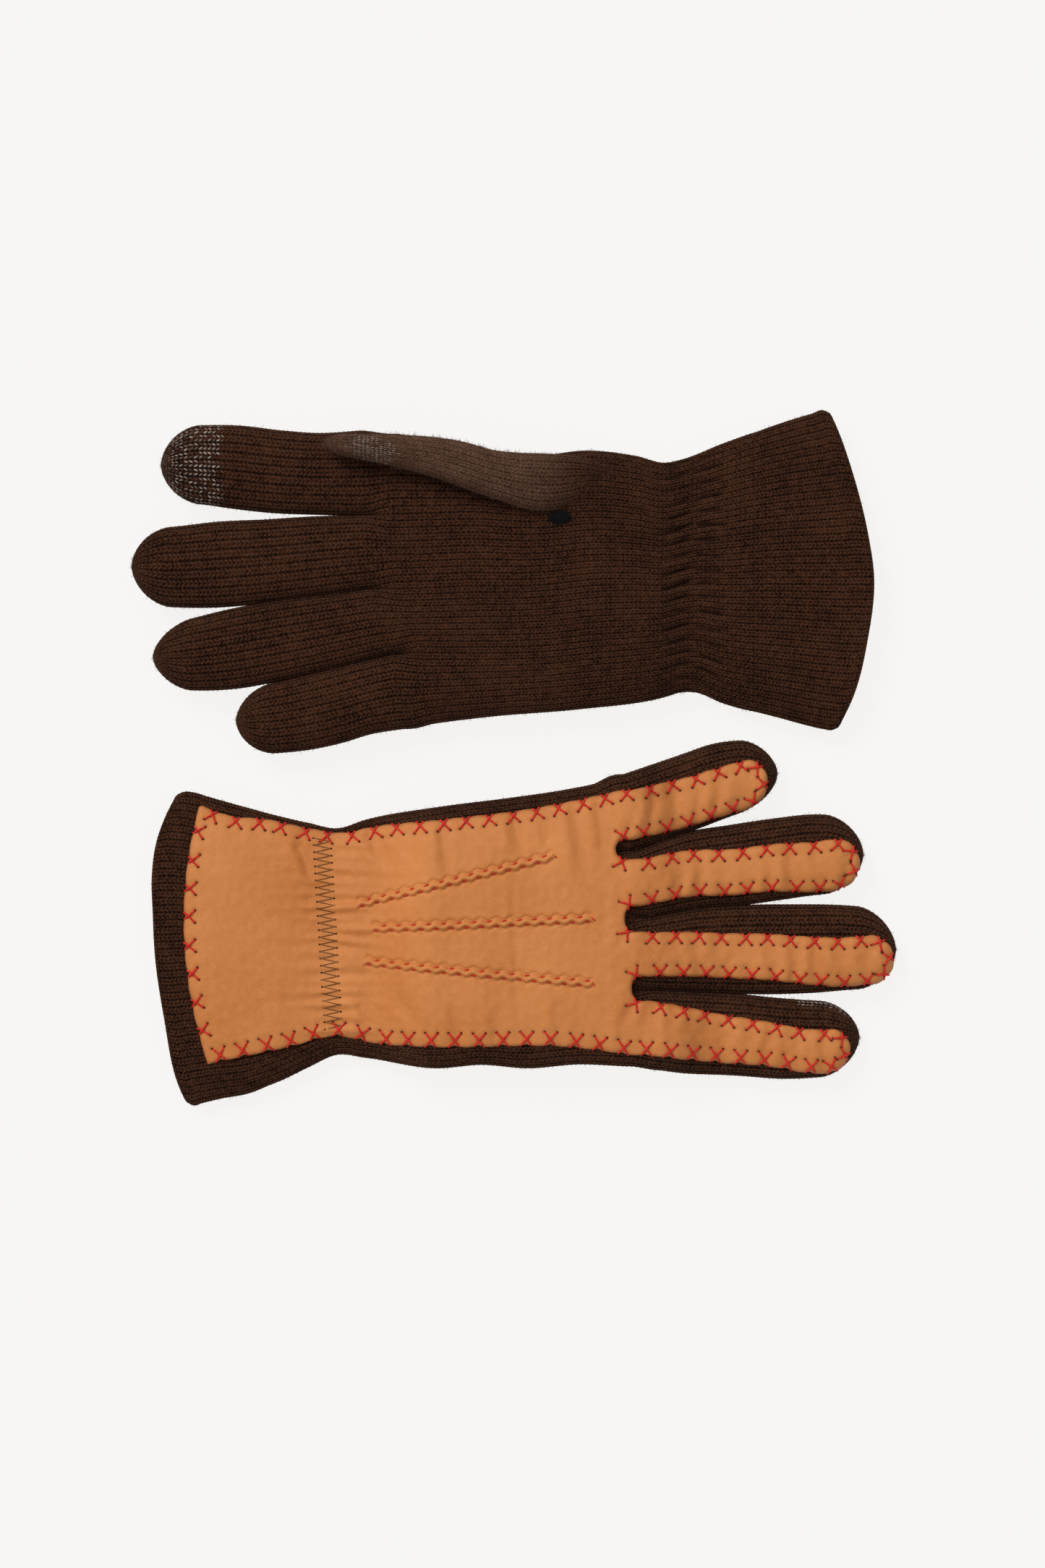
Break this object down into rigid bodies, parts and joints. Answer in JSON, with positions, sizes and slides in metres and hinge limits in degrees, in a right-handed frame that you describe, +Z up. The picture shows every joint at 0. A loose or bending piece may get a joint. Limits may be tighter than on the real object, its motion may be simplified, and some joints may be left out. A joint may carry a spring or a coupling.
{
  "type": "pair of gloves",
  "caption": "Pair of knitted touchscreen gloves with stitched leather backs, bending fingers and swinging thumbs.",
  "frame": {"origin": "centre of the pair's footprint, on the surface that the gloves lie on", "axes": "+X towards the left glove's fingertips, +Y from the left glove to the right glove, +Z up"},
  "size_m": [0.2644, 0.2404, 0.0269],
  "materials": {
    "knit": "matt wool knit",
    "touch_knit": "knit plated with silver-grey conductive yarn",
    "leather": "soft fine-grained nappa, satin",
    "red_thread": "waxed thread",
    "dark_thread": "matt thread",
    "elastic": "woven elastic tape"
  },
  "bodies": {
    "right_hand": {"right_edge_stitches": "red_thread", "right_index_finger_root": "knit", "right_knit_cuff": "knit", "right_knit_hand": "knit", "right_leather_back": "leather", "right_little_finger_root": "knit", "right_middle_finger_root": "knit", "right_ridge_index_side": "leather", "right_ridge_little_side": "leather", "right_ridge_middle": "leather", "right_ring_finger_root": "knit", "right_thumb_bar_tack": "dark_thread", "right_wrist_elastic": "elastic", "right_wrist_zigzag": "dark_thread"},
    "right_index": {"right_index_finger": "knit", "right_index_leather": "leather", "right_index_stitches": "red_thread", "right_index_touch_tip": "touch_knit"},
    "right_middle": {"right_middle_finger": "knit", "right_middle_leather": "leather", "right_middle_stitches": "red_thread"},
    "right_ring": {"right_ring_finger": "knit", "right_ring_leather": "leather", "right_ring_stitches": "red_thread"},
    "right_little": {"right_little_finger": "knit", "right_little_leather": "leather", "right_little_stitches": "red_thread"},
    "right_thumb": {"right_thumb": "knit", "right_thumb_touch_tip": "touch_knit"},
    "left_hand": {"left_edge_stitches": "red_thread", "left_index_finger_root": "knit", "left_knit_cuff": "knit", "left_knit_hand": "knit", "left_leather_back": "leather", "left_little_finger_root": "knit", "left_middle_finger_root": "knit", "left_ridge_index_side": "leather", "left_ridge_little_side": "leather", "left_ridge_middle": "leather", "left_ring_finger_root": "knit", "left_thumb_bar_tack": "dark_thread", "left_wrist_elastic": "elastic", "left_wrist_zigzag": "dark_thread"},
    "left_index": {"left_index_finger": "knit", "left_index_leather": "leather", "left_index_stitches": "red_thread", "left_index_touch_tip": "touch_knit"},
    "left_middle": {"left_middle_finger": "knit", "left_middle_leather": "leather", "left_middle_stitches": "red_thread"},
    "left_ring": {"left_ring_finger": "knit", "left_ring_leather": "leather", "left_ring_stitches": "red_thread"},
    "left_little": {"left_little_finger": "knit", "left_little_leather": "leather", "left_little_stitches": "red_thread"},
    "left_thumb": {"left_thumb": "knit", "left_thumb_touch_tip": "touch_knit"}
  },
  "joints": [
    {"name": "right_index_bend", "type": "hinge", "parent": "right_hand", "child": "right_index", "pos_m": [-0.08, 0.0996, 0.0084], "axis": [0.0439, 0.999, 0], "range_deg": [0, 90]},
    {"name": "right_middle_bend", "type": "hinge", "parent": "right_hand", "child": "right_middle", "pos_m": [-0.083, 0.0682, 0.0084], "axis": [-0.0408, 0.9992, 0], "range_deg": [0, 90]},
    {"name": "right_ring_bend", "type": "hinge", "parent": "right_hand", "child": "right_ring", "pos_m": [-0.08, 0.0406, 0.0084], "axis": [-0.1133, 0.9936, 0], "range_deg": [0, 90]},
    {"name": "right_little_bend", "type": "hinge", "parent": "right_hand", "child": "right_little", "pos_m": [-0.066, 0.0168, 0.0084], "axis": [-0.1558, 0.9878, 0], "range_deg": [0, 90]},
    {"name": "right_thumb_swing", "type": "hinge", "parent": "right_hand", "child": "right_thumb", "pos_m": [0.013, 0.095, 0.0214], "axis": [0, 0, -1], "range_deg": [0, 50]},
    {"name": "left_index_bend", "type": "hinge", "parent": "left_hand", "child": "left_index", "pos_m": [0.07895, -0.0963, 0.006], "axis": [0.0279, 0.9996, 0], "range_deg": [0, 90]},
    {"name": "left_middle_bend", "type": "hinge", "parent": "left_hand", "child": "left_middle", "pos_m": [0.08195, -0.0663, 0.006], "axis": [-0.01, 1, 0], "range_deg": [0, 90]},
    {"name": "left_ring_bend", "type": "hinge", "parent": "left_hand", "child": "left_ring", "pos_m": [0.07795, -0.0373, 0.006], "axis": [-0.1044, 0.9945, 0], "range_deg": [0, 90]},
    {"name": "left_little_bend", "type": "hinge", "parent": "left_hand", "child": "left_little", "pos_m": [0.06395, -0.0107, 0.006], "axis": [-0.1923, 0.9813, 0], "range_deg": [0, 90]},
    {"name": "left_thumb_swing", "type": "hinge", "parent": "left_hand", "child": "left_thumb", "pos_m": [-0.01905, -0.0951, 0.004], "axis": [0, 0, -1], "range_deg": [0, 50]},
    {"name": "left_glove_slide", "type": "slide", "parent": "right_hand", "child": "left_hand", "axis": [0, -1, 0], "range_m": [0, 0.15]}
  ]
}
